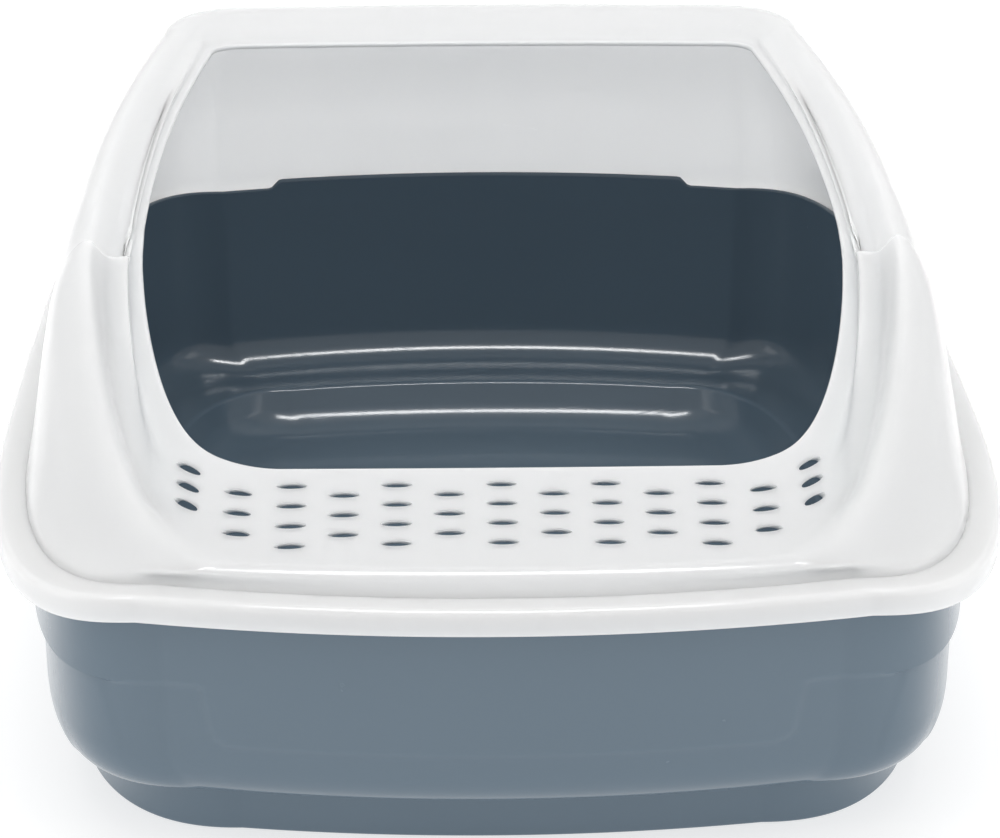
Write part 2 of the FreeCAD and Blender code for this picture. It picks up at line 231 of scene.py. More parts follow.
def tidy_normals(obj):
    """Merge doubles and point every face outwards."""
    bm = bmesh.new()
    bm.from_mesh(obj.data)
    bmesh.ops.remove_doubles(bm, verts=bm.verts, dist=1e-6)
    bmesh.ops.recalc_face_normals(bm, faces=bm.faces)
    if bm.calc_volume(signed=True) < 0:
        bmesh.ops.reverse_faces(bm, faces=bm.faces)
    loose = sum(1 for e in bm.edges if len(e.link_faces) != 2)
    print(obj.name, "faces", len(bm.faces), "open edges", loose,
          "litres of plastic", round(bm.calc_volume() * 1000, 3))
    bm.to_mesh(obj.data)
    bm.free()


# %% [markdown]
# ## The hood
#
# The hood starts low at the front, where the sieved sill lets the cat step in, and sweeps up
# both sides to a high back. From outside to inside its skin runs: skirt, rolled edge, flat
# band, fold line, shoulder, ridge, crease, trough, and the lip of the opening. Beside the
# entrance each side swells into a rounded lobe with a channel behind it. Both end in a
# crisp crest at the top of the climb, with a shallow dip behind it.

# %% Heights of the hood's rails
SILL_CREASE = FLANGE_TOP + 8.1
LIP_RISE = 11.5
SIDE_CLIMB = 39.0
BACK_SLOPE = 0.103
CREST_RISE_LENGTH = 34.0
CREST_FALL_LENGTH = 6.5
CREST_FADE_LENGTH = 42.0


def crest(y, at, rise, dip):
    """A swelling up to a crest, a short fall behind it into a dip, and a slow recovery."""
    up = smooth((y - at + CREST_RISE_LENGTH) / CREST_RISE_LENGTH)
    down = smooth((y - at) / CREST_FALL_LENGTH)
    fade = 1.0 - smooth((y - at - CREST_FALL_LENGTH) / CREST_FADE_LENGTH)
    return rise * up * (1.0 - down) - dip * down * fade


def climb(base, height, start, length, slope, slope_start):
    """A height law: level, then an S-shaped climb, then a steady slope to the back."""
    def law(x, y):
        return base + height * smooth((y - start) / length) + slope * np.maximum(0, y - slope_start)
    return law


def with_crest(law, at, rise, dip):
    return lambda x, y: law(x, y) + crest(y, at, rise, dip)


LIP = climb(SILL_CREASE + LIP_RISE, SIDE_CLIMB, 85.0, 120.0, BACK_SLOPE, 190.0)
TROUGH = climb(SILL_CREASE + LIP_RISE * 0.46, SIDE_CLIMB + 7.0, 95.0, 92.0,
               BACK_SLOPE + 0.004, 190.0)
CREASE = climb(SILL_CREASE, SIDE_CLIMB + 14.0, 70.0, 125.0, BACK_SLOPE + 0.002, 190.0)
RIDGE = climb(SILL_CREASE - 0.9, SIDE_CLIMB + 19.0, 25.0, 155.0, BACK_SLOPE - 0.018, 180.0)
SHOULDER = climb(SILL_CREASE - 3.1, SIDE_CLIMB + 10.0, 22.0, 155.0, BACK_SLOPE + 0.012, 175.0)
WALL_FOOT = climb(FLANGE_TOP + 2.2, 4.8, 20.0, 90.0, 0.0, 0.0)


def lip_base_height(x, y):
    """Just outside the lip: under it at the front, a little over it further back."""
    return LIP(x, y - 5.0) - 1.7 + 2.4 * smooth((y - 90.0) / 80.0)


print("sill height", SILL_CREASE, "lip height at the back", LIP(0.0, LENGTH))


# %% Rails of the hood
HOOD_COUNT = 380


def hood_crowd(x, y):
    """Closer points along the rails at the crest and round the ends of the sill."""
    near_crest = np.exp(-((y - 180.0) / 16.0) ** 2) * (x > 100.0)
    near_corner = np.exp(-((y - 75.0) / 45.0) ** 2) * (x > 80.0)
    return 1.0 + 1.3 * near_crest + 0.5 * near_corner


def hood_rail(outline, height):
    return rail(outline, height, HOOD_COUNT, hood_crowd)


def hood_outside():
    """Main rails from the fold line to the lip."""
    w, n = HALF_WIDTH, LENGTH
    shoulder = half_ring(14.0, w - 80, 8.0, w - 21, 175.0, w - 44, n - 68,
                         w - 70, n - 42, n - 38, 2.2)
    ridge = half_ring(16.5, w - 83, 8.0, w - 30.5, 205.0, w - 49, n - 72,
                      w - 73, n - 46, n - 44, 1.9)
    crease = half_ring(20.2, w - 91, 7.0, w - 38.5, 165.0, w - 56, n - 78,
                       w - 76, n - 54, n - 50, 1.5)
    trough = half_ring(45.0, w - 97, 3.0, w - 45.5, 178.0, w - 60, n - 84,
                       w - 77, n - 68, n - 64, 1.8)
    lip_base = half_ring(66.0, w - 100, 1.0, w - 44.5, 200.0, w - 61.5, n - 89,
                         w - 77, n - 77, n - 74.5)
    lip = half_ring(74.0, w - 103, 0.5, w - 48.5, 205.0, w - 64, n - 90,
                    w - 77, n - 81, n - 79)
    return [
        hood_rail(rim_ring(BAND_WIDTH), FLANGE_TOP),
        hood_rail(rim_ring(BAND_WIDTH + 1.4), WALL_FOOT),
        hood_rail(shoulder, with_crest(SHOULDER, 176.0, 1.2, 0.6)),
        hood_rail(ridge, with_crest(RIDGE, 178.0, 1.6, 2.6)),
        hood_rail(crease, with_crest(CREASE, 176.5, 3.0, 3.0)),
        hood_rail(trough, with_crest(TROUGH, 178.0, 2.0, 0.8)),
        hood_rail(lip_base, with_crest(lip_base_height, 182.0, 0.5, 0.2)),
        hood_rail(lip, LIP),
    ]


HOOD_STEPS = (6, 8, 7, 8, 12, 9, 6)
hood_skin = filled_in(hood_outside(), HOOD_STEPS)
print("hood rails", len(hood_skin), "points each", len(hood_skin[0]))

# %% [markdown]
# ### Inside skin and edges of the hood
#
# A moulding has one wall thickness. The inside skin is the outside one moved in along its
# normals. The lip of the opening and the bottom of the skirt are rounded, as a mould leaves
# them, because a sharp edge would catch no light.

# %% Close the hood's wall
INNER_STEP = 3
hood_normals = skin_normals(hood_skin)
under = FLANGE_TOP - HOOD_WALL
inner_rows = list(range(0, len(hood_skin), INNER_STEP))
if inner_rows[-1] != len(hood_skin) - 1:
    inner_rows.append(len(hood_skin) - 1)
hood_inner = [hood_skin[r] + hood_normals[r] * HOOD_WALL for r in inner_rows]
hood_inner[0] = hood_rail(rim_ring(BAND_WIDTH + 0.4), under)
hood_inner[1] = (hood_inner[0] + hood_inner[2]) * 0.5


def lip_roll():
    """A half-round edge from the outside skin to the inside one, at the opening's lip."""
    outer, inner = hood_skin[-1], hood_inner[-1]
    middle, radius = (outer + inner) / 2.0, (outer - inner) / 2.0
    outward = hood_skin[-1] - hood_skin[-2]
    outward /= np.linalg.norm(outward, axis=1)[:, None]
    size = np.linalg.norm(radius, axis=1)[:, None]
    angles = [math.pi * k / 6 for k in range(1, 6)]
    return [middle + radius * math.cos(a) + outward * size * math.sin(a) * 0.8 for a in angles]


def rolled_edge(centre_inset, centre_height, radius, start, end, count):
    """Rails of a round edge; angles in degrees, 0 straight out and 90 straight up."""
    angles = np.radians(np.linspace(start, end, count))
    return [hood_rail(rim_ring(centre_inset - radius * math.cos(a)),
                      centre_height + radius * math.sin(a)) for a in angles]


SKIRT_ROUND = 0.7
FLANGE_ROUND = 2.4
skirt_loop = [hood_rail(rim_ring(HOOD_WALL), under)]
skirt_round_height = SKIRT_BOTTOM + SKIRT_ROUND
skirt_loop += rolled_edge(HOOD_WALL - SKIRT_ROUND, skirt_round_height, SKIRT_ROUND, 180, 270, 4)
skirt_loop += rolled_edge(SKIRT_ROUND, skirt_round_height, SKIRT_ROUND, -90, 0, 4)
skirt_loop += rolled_edge(FLANGE_ROUND, FLANGE_TOP - FLANGE_ROUND, FLANGE_ROUND, 0, 90, 8)
skirt_loop += [hood_rail(rim_ring(BAND_WIDTH * s), FLANGE_TOP) for s in (0.45, 0.7, 0.9)]
hood = swept_shell("hood_shell", skirt_loop + hood_skin + lip_roll() + hood_inner[::-1], True)

# %% [markdown]
# ### The sieve
#
# Forty-four slots let litter fall from the cat's paws back into the tray. They stand in
# columns of four and three in turn, and the last two columns on each side turn with the
# corner. Each has a thin land at the top and flares wider below, so that grains can't jam.
# Cutting one boolean per slot would be slow and hard to change, so a Geometry Nodes tree
# places one cutter on each point, turned square to the skin by an attribute on the point,
# and cuts them all at once. Its named inputs are the slot's length, width, land and flare.

# %% Slot positions
SLOT_LENGTH = 10.2
SLOT_WIDTH = 3.2
SLOT_LAND = 0.7
SLOT_FLARE = 1.75
CUTTER_ABOVE = 3.0
FLARE_STEP = 0.4
CUTTER_BELOW = 4.0
SLOT_POINTS = 24
COLUMN_PITCH = HALF_WIDTH * 0.0984
ROW_PITCH = 11.0
FIRST_ROW = 31.8
LONG_COLUMNS = 5
LONG_ROWS = 4
SHORT_ROWS = 3
CORNER_COLUMN = HALF_WIDTH - 88.5
CORNER_SHIFT = 0.8
END_COLUMN = HALF_WIDTH - 71.0
END_COLUMN_LIFT = 32.8
END_PITCH = 9.2
CORNER_TILT = 25.0
END_TILT = 55.0
END_STRETCH = (1.45, 0.8, 1.0)
RAY_START = 60.0


def slot_places():
    """Each slot's x, distance back and turn in degrees."""
    places = []
    for column in range(2 * LONG_COLUMNS - 1):
        long_column = column % 2 == 0
        start = FIRST_ROW if long_column else FIRST_ROW + ROW_PITCH / 2.0
        x = (column - LONG_COLUMNS + 1) * COLUMN_PITCH
        for row in range(LONG_ROWS if long_column else SHORT_ROWS):
            places.append((x, start + row * ROW_PITCH, 0.0))
    for side in (-1, 1):
        for row in range(SHORT_ROWS):
            y = FIRST_ROW + ROW_PITCH * (row + CORNER_SHIFT)
            places.append((side * CORNER_COLUMN, y, side * CORNER_TILT))
            y = FIRST_ROW + END_COLUMN_LIFT + END_PITCH * row
            places.append((side * END_COLUMN, y, side * END_TILT))
    return places


def slot_frame(skin, x, y, turn):
    """Where a slot's middle lies on the hood's outside, and its rotation square to the skin."""
    above = Vector((x, y - HALF_LENGTH, FLANGE_TOP + RAY_START)) * MM
    spot, normal, _, _ = skin.ray_cast(above, Vector((0.0, 0.0, -1.0)))
    along = Vector((math.cos(math.radians(turn)), math.sin(math.radians(turn)), 0.0))
    along = (along - normal * along.dot(normal)).normalized()
    return spot, Matrix((along, normal.cross(along), normal)).transposed().to_euler()


def make_slot_points():
    """One point per slot, with its rotation and its size in attributes."""
    shape = bmesh.new()
    shape.from_mesh(hood.data)
    skin = BVHTree.FromBMesh(shape)
    shape.free()
    places = slot_places()
    frames = [slot_frame(skin, x, y, turn) for x, y, turn in places]
    mesh = bpy.data.meshes.new("slot_points")
    mesh.from_pydata([spot for spot, tilt in frames], [], [])
    tilts = mesh.attributes.new("tilt", "FLOAT_VECTOR", "POINT")
    tilts.data.foreach_set("vector", [angle for spot, tilt in frames for angle in tilt])
    sizes = mesh.attributes.new("size", "FLOAT_VECTOR", "POINT")
    stretch = [END_STRETCH if abs(turn) == END_TILT else (1.0, 1.0, 1.0) for x, y, turn in places]
    sizes.data.foreach_set("vector", [part for size in stretch for part in size])
    obj = bpy.data.objects.new("slot_points", mesh)
    bpy.context.scene.collection.objects.link(obj)
    return obj


slot_points = make_slot_points()
print("slots", len(slot_points.data.vertices))

# %% [markdown]
# ### Shader and node helpers
#
# Both the sieve's tree and the materials are written as expressions, which read more like
# the idea than a list of links does. A Value wraps a socket, and plus, minus and times on
# it add Math nodes.

# %% Node helpers


class Value:
    """A socket that can be used in arithmetic."""

    def __init__(self, nodes, socket):
        self.nodes = nodes
        self.socket = socket

    def _math(self, operation, a, b):
        return self.nodes.add("ShaderNodeMath", {"operation": operation}, {0: a, 1: b})

    def __add__(self, other):
        return self._math("ADD", self, other)

    def __radd__(self, other):
        return self._math("ADD", other, self)

    def __sub__(self, other):
        return self._math("SUBTRACT", self, other)

    def __rsub__(self, other):
        return self._math("SUBTRACT", other, self)

    def __mul__(self, other):
        return self._math("MULTIPLY", self, other)

    def __rmul__(self, other):
        return self._math("MULTIPLY", other, self)


class Nodes:
    """A node tree that is built one node at a time."""

    def __init__(self, tree):
        self.tree = tree
        tree.nodes.clear()

    def put(self, kind, settings=None, inputs=None):
        """Add a node: its settings first, then its sockets' values or links."""
        node = self.tree.nodes.new(kind)
        for name, value in (settings or {}).items():
            setattr(node, name, value)
        for name, value in (inputs or {}).items():
            self.feed(node.inputs[name], value)
        return node

    def feed(self, socket, value):
        if isinstance(value, Value):
            self.tree.links.new(value.socket, socket)
        else:
            socket.default_value = value

    def add(self, kind, settings=None, inputs=None, output=0):
        return Value(self, self.put(kind, settings, inputs).outputs[output])


print("helpers ready")

# %% The sieve's node tree


def sieve_tree():
    """Hood in, pierced hood out."""
    tree = bpy.data.node_groups.new("sieve", "GeometryNodeTree")
    face = tree.interface
    face.new_socket("Geometry", in_out="INPUT", socket_type="NodeSocketGeometry")
    sockets = {}
    for name in ("Slot length", "Slot width", "Land", "Flare"):
        sockets[name] = face.new_socket(name, in_out="INPUT", socket_type="NodeSocketFloat")
    sockets["Points"] = face.new_socket("Points", in_out="INPUT", socket_type="NodeSocketObject")
    sockets["Plastic"] = face.new_socket("Plastic", in_out="INPUT", socket_type="NodeSocketMaterial")
    face.new_socket("Geometry", in_out="OUTPUT", socket_type="NodeSocketGeometry")
    nodes = Nodes(tree)
    start = nodes.put("NodeGroupInput")
    given = {s.name: Value(nodes, s) for s in start.outputs if s.name}

    def vector(**parts):
        return nodes.add("ShaderNodeCombineXYZ", None, parts)

    def extrude(shape, offset, selection=None):
        chosen = {} if selection is None else {"Selection": selection}
        return nodes.put("GeometryNodeExtrudeMesh", {"mode": "FACES"},
                         {"Mesh": shape, "Offset": offset, "Individual": False, **chosen})

    # A circle is stretched along X into a slot with pointed ends.
    disc = nodes.add("GeometryNodeMeshCircle", {"fill_type": "NGON"},
                     {"Vertices": SLOT_POINTS, "Radius": given["Slot width"] * 0.5})
    split = nodes.put("ShaderNodeSeparateXYZ", None, {0: nodes.add("GeometryNodeInputPosition")})
    x, y = Value(nodes, split.outputs[0]), Value(nodes, split.outputs[1])
    stretch = nodes.add("ShaderNodeMath", {"operation": "DIVIDE"},
                        {0: given["Slot length"], 1: given["Slot width"]})
    clear = CUTTER_ABOVE * MM
    oval = nodes.add("GeometryNodeSetPosition", None,
                     {"Geometry": disc, "Offset": vector(X=x * (stretch - 1.0), Z=clear)})
    # The cutter goes down through the land, widens, and carries on through the wall.
    land = extrude(oval, vector(Z=0.0 - given["Land"] - clear))
    step = extrude(Value(nodes, land.outputs["Mesh"]), vector(Z=-FLARE_STEP * MM),
                   Value(nodes, land.outputs["Top"]))
    foot = Value(nodes, step.outputs["Top"])
    wide = nodes.add("GeometryNodeSetPosition", None, {
        "Geometry": Value(nodes, step.outputs["Mesh"]), "Selection": foot,
        "Offset": vector(Y=y * (given["Flare"] - 1.0))})
    low = extrude(wide, vector(Z=-CUTTER_BELOW * MM), foot)
    turned = nodes.add("GeometryNodeFlipFaces", None, {"Mesh": Value(nodes, low.outputs["Mesh"])})
    cutter = nodes.put("GeometryNodeJoinGeometry")
    tree.links.new(turned.socket, cutter.inputs[0])
    tree.links.new(oval.socket, cutter.inputs[0])
    solid = nodes.add("GeometryNodeMergeByDistance", None,
                      {"Geometry": Value(nodes, cutter.outputs[0]), "Distance": 1e-7})
    points = nodes.put("GeometryNodeObjectInfo", None, {"Object": given["Points"]})
    tilt, size = [nodes.add("GeometryNodeInputNamedAttribute", {"data_type": "FLOAT_VECTOR"},
                            {"Name": name}) for name in ("tilt", "size")]
    placed = nodes.add("GeometryNodeInstanceOnPoints", None, {
        "Points": Value(nodes, points.outputs["Geometry"]), "Instance": solid, "Rotation": tilt,
        "Scale": size})
    cutters = nodes.add("GeometryNodeRealizeInstances", None, {"Geometry": placed})
    pierced = nodes.put("GeometryNodeMeshBoolean", {"operation": "DIFFERENCE", "solver": "EXACT"})
    tree.links.new(given["Geometry"].socket, pierced.inputs["Mesh 1"])
    tree.links.new(cutters.socket, pierced.inputs["Mesh 2"])
    real = nodes.add("GeometryNodeRealizeInstances", None,
                     {"Geometry": Value(nodes, pierced.outputs["Mesh"])})
    done = nodes.add("GeometryNodeSetMaterial", None, {"Geometry": real, "Material": given["Plastic"]})
    nodes.put("NodeGroupOutput", None, {"Geometry": done})
    return tree, {name: socket.identifier for name, socket in sockets.items()}


sieve, sieve_inputs = sieve_tree()
print("sieve inputs", sieve_inputs)

# %% [markdown]
# ## Finishes
#
# Polypropylene from a polished mould is glossy but never a mirror. Close to, it has faint
# flow clouds in its colour, a shallow orange-peel ripple, a very fine grain, and thin
# scratches from handling all over. All of it is worked out from the piece's own
# coordinates, so it stays put from every side. The white plastic is thin enough to let
# light through, so it scatters light below its surface too.

# %% Plastic
RIPPLE_HEIGHT = 0.00006
PLASTIC_IOR = 1.49
LIGHT_DEPTH = 0.008
SHARP_ANGLE = 40.0


def plastic(name, colour, deep, roughness, ripple, wear, glow):
    """Glossy moulded plastic. deep is the colour in its flow clouds; glow lets light through."""
    material = bpy.data.materials.new(name)
    material.use_nodes = True
    nodes = Nodes(material.node_tree)
    place = nodes.add("ShaderNodeTexCoord", output="Object")

    def cloud(scale, detail, rough=0.5):
        return nodes.add("ShaderNodeTexNoise", {"noise_dimensions": "3D"},
                         {"Vector": place, "Scale": scale, "Detail": detail, "Roughness": rough})

    flow = cloud(14.0, 4.0)
    speck = cloud(900.0, 2.0)
    peel = cloud(260.0, 2.0, 0.4)
    grain = cloud(2600.0, 1.0)
    # Scratches: a noise stretched long along one way, kept only where it peaks.
    streaks = []
    for turn, seed in ((0.5, 0.0), (2.1, 3.0)):
        stretched = nodes.add("ShaderNodeMapping", None, {
            "Vector": place, "Location": (seed, seed * 0.7, 0.0), "Rotation": (0.0, 0.0, turn),
            "Scale": (1.0, 40.0, 6.0)})
        line = nodes.add("ShaderNodeTexNoise", {"noise_dimensions": "3D"},
                         {"Vector": stretched, "Scale": 22.0, "Detail": 3.0, "Roughness": 0.6})
        streaks.append(nodes.add("ShaderNodeMapRange", {"clamp": True}, {
            "Value": line, "From Min": 0.66, "From Max": 0.72, "To Min": 0.0, "To Max": 1.0}))
    scratch = (streaks[0] + streaks[1]) * wear
    tint = nodes.add("ShaderNodeMix", {"data_type": "RGBA", "clamp_factor": True},
                     {"Factor": flow * 0.7 + speck * 0.3, 6: (*colour, 1.0), 7: (*deep, 1.0)}, output=2)
    finish = roughness + (flow - 0.5) * (roughness * 0.35) + (speck - 0.5) * (roughness * 0.2) \
        + scratch * 0.12
    height = peel * 0.6 + grain * 0.08 - scratch * 0.5
    bump = nodes.add("ShaderNodeBump", None,
                     {"Height": height, "Strength": ripple, "Distance": RIPPLE_HEIGHT})
    shader = nodes.add("ShaderNodeBsdfPrincipled", None, {
        "Base Color": tint, "Roughness": finish, "Normal": bump, "IOR": PLASTIC_IOR,
        "Subsurface Weight": glow, "Subsurface Radius": (1.0, 1.0, 1.0),
        "Subsurface Scale": LIGHT_DEPTH})
    nodes.put("ShaderNodeOutputMaterial", None, {"Surface": shader})
    return material


white_plastic = plastic("white_plastic", (0.93, 0.945, 0.945), (0.91, 0.93, 0.935),
                        roughness=0.20, ripple=0.35, wear=0.5, glow=1.0)
blue_plastic = plastic("blue_grey_plastic", (0.128, 0.178, 0.225), (0.118, 0.166, 0.212),
                       roughness=0.16, ripple=0.35, wear=0.8, glow=0.0)
print("materials", white_plastic.name, blue_plastic.name)

# %% Pierce the hood


def apply_modifier(obj):
    """Turn the evaluated object into a plain mesh and drop its modifiers."""
    graph = bpy.context.evaluated_depsgraph_get()
    graph.update()
    mesh = bpy.data.meshes.new_from_object(obj.evaluated_get(graph))
    obj.modifiers.clear()
    old = obj.data
    obj.data = mesh
    bpy.data.meshes.remove(old)


def shade(obj, angle):
    """Smooth shading, with edges sharper than the angle kept crisp."""
    mesh = obj.data
    mesh.polygons.foreach_set("use_smooth", [True] * len(mesh.polygons))
    mesh.set_sharp_from_angle(angle=math.radians(angle))
    mesh.update()


piercing = hood.modifiers.new("sieve", "NODES")
piercing.node_group = sieve
for name, value in (("Slot length", SLOT_LENGTH * MM), ("Slot width", SLOT_WIDTH * MM),
                    ("Land", SLOT_LAND * MM), ("Flare", SLOT_FLARE), ("Points", slot_points),
                    ("Plastic", white_plastic)):
    piercing[sieve_inputs[name]] = value
apply_modifier(hood)
bpy.data.objects.remove(slot_points)
hood.data.name = "hood_shell"
hood.data.materials.clear()
hood.data.materials.append(white_plastic)
hood.data.polygons.foreach_set("material_index", [0] * len(hood.data.polygons))
shade(hood, SHARP_ANGLE)
print("hood faces", len(hood.data.polygons), "materials", [m.name for m in hood.data.materials])

# %% [markdown]
# ## The tray
#
# The tray is a deep basin on a set-in foot. Its wall leans out a little, its upper belt
# stands proud, and at the front and back the belt drops to a low panel, which leaves a
# shallow pocket at each corner. Its section at the front is drawn once as a chain of corners
# with a radius at each. The rim follows the hood's outline; lower down, the outline lies
# further out at the sides and grows rounder at the corners.

# %% Section of the tray
WALL = 2.2
RIM_TOP = FLANGE_TOP - HOOD_WALL - LEDGE_GAP
RIM_INSET = HOOD_WALL + 0.5
UPSTAND_INSET = BAND_WIDTH + HOOD_WALL + 1.3
UPSTAND_WALL = 2.0
UPSTAND_TOP = FLANGE_TOP + 1.4
UPSTAND_FOOT = FLANGE_TOP - 8.0
WALL_TOP_INSET = UPSTAND_INSET - 0.4
RIM_THICKNESS = 2.2
RIM_ROUND = 0.9
UPSTAND_ROUND = 0.8
TURN_TOP = 40.0
TURN_DROP = 22.5
TURN_INSET = 16.5
TURN_SIDE_INSET = 15.0
FOOT_INSET = 38.5
FOOT_SIDE_INSET = 26.0
FOOT_RIB = 2.4
FOOT_LINE = 13.2
FOOT_TOP = 18.4
WELL_INSET = 49.0
WELL_SIDE_GAIN = 5.0
WELL_RADIUS = 19.0
WELL_CENTRE = WELL_INSET + 1.0 + WELL_RADIUS
GROOVE_CEILING = TURN_TOP - TURN_DROP + 0.3
SHELF_HEIGHT = GROOVE_CEILING + WALL
BELT_DEPTH = 1.0
SIDE_BELT_DEPTH = 3.0
BELT_BOTTOM = FLANGE_TOP - 37.0
RELIEF_TOP = BELT_BOTTOM + 3.0
RELIEF_ROWS = 22
PANEL_BOTTOM = TURN_TOP + 0.5
TURN_ROWS = 16
WELL_EDGE_ANGLE = -28
FRONT_POWER = 2.4
SIDE_POWER = 3.0


def rounded(corners):
    """A chain of (inset, height, radius) corners with each corner rounded off."""
    points = [np.array(corners[0][:2], float)]
    for (ax, ay, _), (bx, by, radius), (cx, cy, _) in zip(corners, corners[1:], corners[2:]):
        a, b, c = np.array([ax, ay], float), np.array([bx, by], float), np.array([cx, cy], float)
        to_a, to_c = (a - b) / np.linalg.norm(a - b), (c - b) / np.linalg.norm(c - b)
        if radius <= 0.0:
            points.append(b)
            continue
        half = math.acos(float(np.clip(to_a @ to_c, -1, 1))) / 2.0
        reach = radius / math.tan(half)
        middle = (to_a + to_c) / np.linalg.norm(to_a + to_c)
        centre = b + middle * radius / math.sin(half)
        p, q = b + to_a * reach - centre, b + to_c * reach - centre
        start, sweep = math.atan2(p[1], p[0]), math.atan2(p[0] * q[1] - p[1] * q[0], p @ q)
        count = max(3, int(abs(sweep) * 6))
        for k in range(count + 1):
            angle = start + sweep * k / count
            points.append(centre + radius * np.array([math.cos(angle), math.sin(angle)]))
    points.append(np.array(corners[-1][:2], float))
    return points


def arc(inset, height, radius, start, end, count):
    """Corners along an arc, with angles in degrees from straight out."""
    angles = np.radians(np.linspace(start, end, count + 1))
    return [(inset - radius * math.cos(a), height + radius * math.sin(a), 0.0) for a in angles]


def wall_inset(height):
    """Inset of the plain wall above the turn."""
    share = (height - TURN_TOP) / (FLANGE_TOP - TURN_TOP)
    return TURN_INSET + (WALL_TOP_INSET - TURN_INSET) * share


def front_fall(down):
    """How far the turn has come in at the front, for how far it has gone down, both 0 to 1."""
    return 1.0 - (1.0 - down ** FRONT_POWER) ** (1.0 / FRONT_POWER)


def side_fall(down):
    """The same at the sides, where the turn is tighter."""
    return 1.0 - (1.0 - down ** SIDE_POWER) ** (1.0 / SIDE_POWER)


def turn(drop, depth, downs):
    """Corners along the wide turn, drawn in by a depth."""
    reach = FOOT_INSET - TURN_INSET
    return [(TURN_INSET + depth + reach * front_fall(d), TURN_TOP - drop * d, 0.0) for d in downs]


def tray_section():
    """From the middle of the underside, round the outside and the rim, to the inside floor."""
    outer_well = WELL_RADIUS + WALL
    rib = FOOT_INSET + FOOT_RIB
    lip = UPSTAND_INSET + UPSTAND_WALL
    rim_bottom = RIM_TOP - RIM_THICKNESS
    # The rows stop just short of the turn's end, where it would run level into the foot.
    downs = np.sin(np.linspace(0.0, 0.47, TURN_ROWS) * math.pi)
    corners = arc(WELL_CENTRE, outer_well, outer_well, -90, WELL_EDGE_ANGLE, 8)
    corners += [
        (WELL_INSET - 0.6, GROOVE_CEILING, 1.2),
        (rib, GROOVE_CEILING, 1.2),
        (rib, 0.0, 0.8),
        (FOOT_INSET + 0.6, 0.0, 1.2),
        (FOOT_INSET, FOOT_LINE, 0.0),
        (FOOT_INSET - 0.5, FOOT_LINE + 0.8, 0.0),
        (FOOT_INSET - 0.9, FOOT_TOP, 0.9),
    ]
    corners += turn(TURN_DROP, 0.0, downs[-2::-1])
    heights = np.linspace(TURN_TOP + 1.0, RELIEF_TOP, RELIEF_ROWS)
    corners += [(wall_inset(z), z, 0.0) for z in heights]
    corners += [
        (wall_inset(rim_bottom) - BELT_DEPTH, rim_bottom, RIM_ROUND),
        (RIM_INSET, rim_bottom, RIM_ROUND),
        (RIM_INSET, RIM_TOP, RIM_ROUND),
        (UPSTAND_INSET, RIM_TOP, 0.6),
        (UPSTAND_INSET, UPSTAND_TOP, UPSTAND_ROUND),
        (lip, UPSTAND_TOP, UPSTAND_ROUND),
        (lip, UPSTAND_FOOT, 6.0),
    ]
    corners += turn(TURN_TOP - SHELF_HEIGHT, WALL, downs)
    corners.append((WELL_INSET, SHELF_HEIGHT, 2.2))
    corners += arc(WELL_CENTRE, WALL + WELL_RADIUS, WELL_RADIUS, WELL_EDGE_ANGLE, -90, 12)
    return rounded(corners)


section = tray_section()
print("tray section points", len(section))

# %% Relief and rim heights
END_ZONE = 60.0
PANEL_HALF_WIDTH = 94.3
PANEL_SLANT = 0.21
PANEL_ROUND = 6.0
POCKET_END = 125.5
POCKET_SLANT = 0.27
SIDE_SHARE = 0.42
UPSTAND_FRONT_DROP = 1.6
UPSTAND_FRONT_DEPTH = 85.0
TAB_RISE = 3.8
TAB_HALF_WIDTH = HALF_WIDTH - 89.0
TAB_RAMP = 5.0


def tray_crowd(x, y):
    """Closer points where the pockets' edges and the tab's ends are."""
    ends = (y < END_ZONE) | (y > LENGTH - END_ZONE)
    window = smooth((x - 78.0) / 6.0) * (1.0 - smooth((x - 136.0) / 6.0))
    return 1.0 + 1.2 * window * ends


def belt_relief(x, y, z):
    """How far the outside stands proud of the plain wall at a point."""
    to_end = np.minimum(y, LENGTH - y)
    at_end = 1.0 - smooth((to_end - 45.0) / 10.0)
    belt = smooth((z - BELT_BOTTOM) / 1.4 + 0.5)
    # The panel: how far outside its slanted side and its bottom edge, with a round corner.
    side = x - (PANEL_HALF_WIDTH + np.maximum(0.0, z - PANEL_BOTTOM) * PANEL_SLANT)
    bottom = PANEL_BOTTOM - z
    corner = np.hypot(np.maximum(side + PANEL_ROUND, 0.0), np.maximum(bottom + PANEL_ROUND, 0.0))
    panel = smooth(0.5 - (corner - PANEL_ROUND) / 1.6) * at_end
    # Beyond the pocket the side wall stands a little proud, less and less down the turn.
    pocket_end = POCKET_END + (z - TURN_TOP) * POCKET_SLANT
    side_wall = smooth((x - pocket_end) / 2.2 + 0.5) * smooth((z - 26.0) / 14.0)
    round_side = np.where(to_end < END_ZONE, side_wall, 1.0)
    depth = BELT_DEPTH + (SIDE_BELT_DEPTH - BELT_DEPTH) * smooth((x - 118.0) / 30.0)
    return np.maximum(np.maximum(belt, panel) * depth, SIDE_SHARE * round_side)


def rim_rise(x, y):
    """How much higher or lower the upstand is than its usual height, round the rim."""
    front = UPSTAND_FRONT_DROP * (1.0 - smooth((y - UPSTAND_FRONT_DEPTH) / 10.0))
    tab = TAB_RISE * (1.0 - smooth((np.abs(x) - TAB_HALF_WIDTH) / TAB_RAMP)) * (y > HALF_LENGTH)
    return tab - front


def pushed_out(plan, distance):
    """Move the points of a half outline out along its own normals."""
    before = np.vstack([plan[1] * (-1.0, 1.0), plan[:-1]])
    after = np.vstack([plan[1:], plan[-2] * (-1.0, 1.0)])
    ahead = after - before
    ahead /= np.linalg.norm(ahead, axis=1)[:, None]
    moved = plan + np.c_[ahead[:, 1], -ahead[:, 0]] * distance[:, None]
    moved[[0, -1], 0] = 0.0
    return moved


